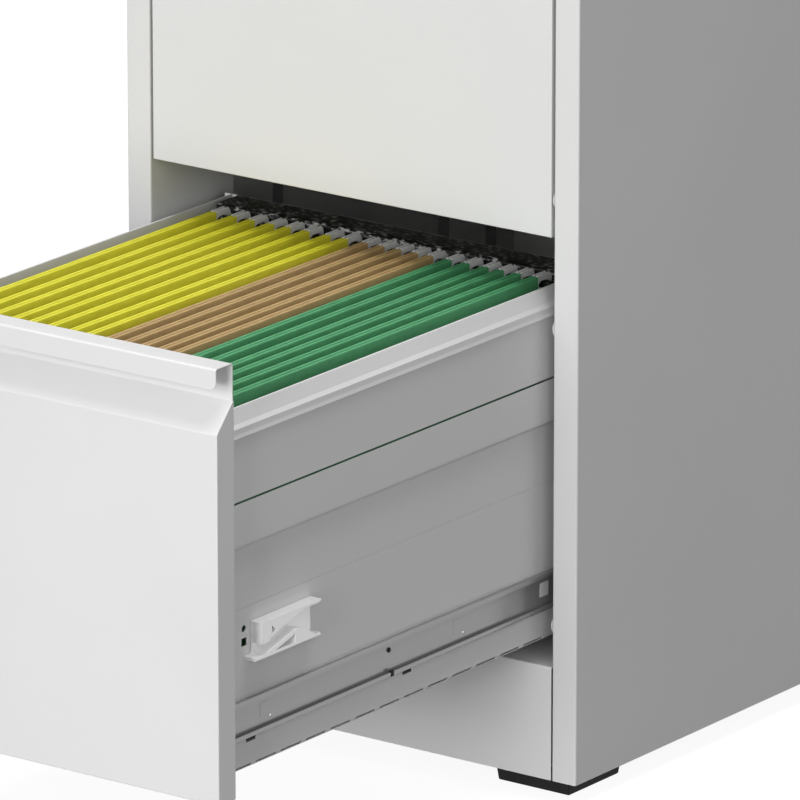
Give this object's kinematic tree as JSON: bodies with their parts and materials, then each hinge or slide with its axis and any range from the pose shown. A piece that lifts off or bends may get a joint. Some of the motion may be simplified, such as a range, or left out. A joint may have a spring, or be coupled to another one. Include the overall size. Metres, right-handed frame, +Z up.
{
  "type": "vertical filing cabinet",
  "caption": "Free-standing steel filing cabinet with file drawers on telescopic slides, folded pulls, hanging rails, interlock cams and a key lock.",
  "frame": {"origin": "on the floor under the middle of the cabinet's box at rest, with the lowest drawer out as in the picture", "axes": "+Z up, the drawers open towards -Y, +X to the right seen from the front"},
  "size_m": [0.381, 0.8316, 1.0246],
  "materials": {
    "body_paint": "light grey powder coat, fine satin texture",
    "drawer_paint": "light grey powder coat, fine satin texture",
    "zinc_steel": "zinc plated, drawn along its length",
    "rail_black": "black semi-gloss paint",
    "foot_plastic": "matte moulded",
    "white_plastic": "smooth moulded",
    "lock_chrome": "bright plated"
  },
  "bodies": {
    "cabinet": {"side_panel_left": "body_paint", "side_panel_right": "body_paint", "back_panel": "body_paint", "top_panel": "body_paint", "base_pan": "body_paint", "bottom_panel": "body_paint", "foot_front_left": "foot_plastic", "upright_front_left": "zinc_steel", "foot_front_right": "foot_plastic", "upright_front_right": "zinc_steel", "foot_rear_left": "foot_plastic", "upright_rear_left": "zinc_steel", "foot_rear_right": "foot_plastic", "upright_rear_right": "zinc_steel", "lock_housing": "lock_chrome", "bar_guide_bottom": "white_plastic", "bar_guide_top": "white_plastic", "slide_outer_bottom_left": "zinc_steel", "slide_outer_bottom_right": "zinc_steel", "slide_outer_middle_left": "zinc_steel", "slide_outer_middle_right": "zinc_steel", "slide_outer_top_left": "zinc_steel", "slide_outer_top_right": "zinc_steel"},
    "drawer_bottom": {"drawer_front_bottom": "drawer_paint", "drawer_tray_bottom": "drawer_paint", "side_extension_bottom_left": "drawer_paint", "side_extension_bottom_right": "drawer_paint", "hang_rail_front_bottom": "rail_black", "hang_rail_rear_bottom": "rail_black", "interlock_cam_bottom": "white_plastic", "slide_inner_bottom_left": "zinc_steel", "slide_inner_bottom_right": "zinc_steel"},
    "slide_mid_bottom": {"slide_mid_bottom_left": "zinc_steel", "slide_mid_bottom_right": "zinc_steel"},
    "drawer_middle": {"drawer_front_middle": "drawer_paint", "drawer_tray_middle": "drawer_paint", "side_extension_middle_left": "drawer_paint", "side_extension_middle_right": "drawer_paint", "hang_rail_front_middle": "rail_black", "hang_rail_rear_middle": "rail_black", "interlock_cam_middle": "white_plastic", "slide_inner_middle_left": "zinc_steel", "slide_inner_middle_right": "zinc_steel"},
    "slide_mid_middle": {"slide_mid_middle_left": "zinc_steel", "slide_mid_middle_right": "zinc_steel"},
    "drawer_top": {"drawer_front_top": "drawer_paint", "drawer_tray_top": "drawer_paint", "side_extension_top_left": "drawer_paint", "side_extension_top_right": "drawer_paint", "hang_rail_front_top": "rail_black", "hang_rail_rear_top": "rail_black", "interlock_cam_top": "white_plastic", "slide_inner_top_left": "zinc_steel", "slide_inner_top_right": "zinc_steel"},
    "slide_mid_top": {"slide_mid_top_left": "zinc_steel", "slide_mid_top_right": "zinc_steel"},
    "lock_plug": {"lock_plug": "lock_chrome", "lock_lever": "zinc_steel"},
    "lock_bar": {"lock_bar": "zinc_steel"}
  },
  "joints": [
    {"name": "drawer_bottom_slide", "type": "slide", "parent": "cabinet", "child": "drawer_bottom", "axis": [0, -1, 0], "range_m": [-0.3716, 0.0284]},
    {"name": "slide_mid_bottom_slide", "type": "slide", "parent": "cabinet", "child": "slide_mid_bottom", "axis": [0, -1, 0], "range_m": [-0.1858, 0.0142]},
    {"name": "drawer_middle_slide", "type": "slide", "parent": "cabinet", "child": "drawer_middle", "axis": [0, -1, 0], "range_m": [0, 0.4]},
    {"name": "slide_mid_middle_slide", "type": "slide", "parent": "cabinet", "child": "slide_mid_middle", "axis": [0, -1, 0], "range_m": [0, 0.2]},
    {"name": "drawer_top_slide", "type": "slide", "parent": "cabinet", "child": "drawer_top", "axis": [0, -1, 0], "range_m": [0, 0.4]},
    {"name": "slide_mid_top_slide", "type": "slide", "parent": "cabinet", "child": "slide_mid_top", "axis": [0, -1, 0], "range_m": [0, 0.2]},
    {"name": "lock_turn", "type": "hinge", "parent": "cabinet", "child": "lock_plug", "pos_m": [0.1506, -0.0442, 1.012], "axis": [0, -1, 0], "range_deg": [0, 90]},
    {"name": "lock_bar_lift", "type": "slide", "parent": "cabinet", "child": "lock_bar", "axis": [0, 0, 1], "range_m": [0, 0.0099]}
  ],
  "couplings": [
    {"joint": "slide_mid_bottom_slide", "follows": "drawer_bottom_slide", "ratio": 0.5},
    {"joint": "slide_mid_middle_slide", "follows": "drawer_middle_slide", "ratio": 0.5},
    {"joint": "slide_mid_top_slide", "follows": "drawer_top_slide", "ratio": 0.5},
    {"joint": "lock_turn", "follows": "lock_bar_lift", "rad_per_m": 158.67}
  ]
}
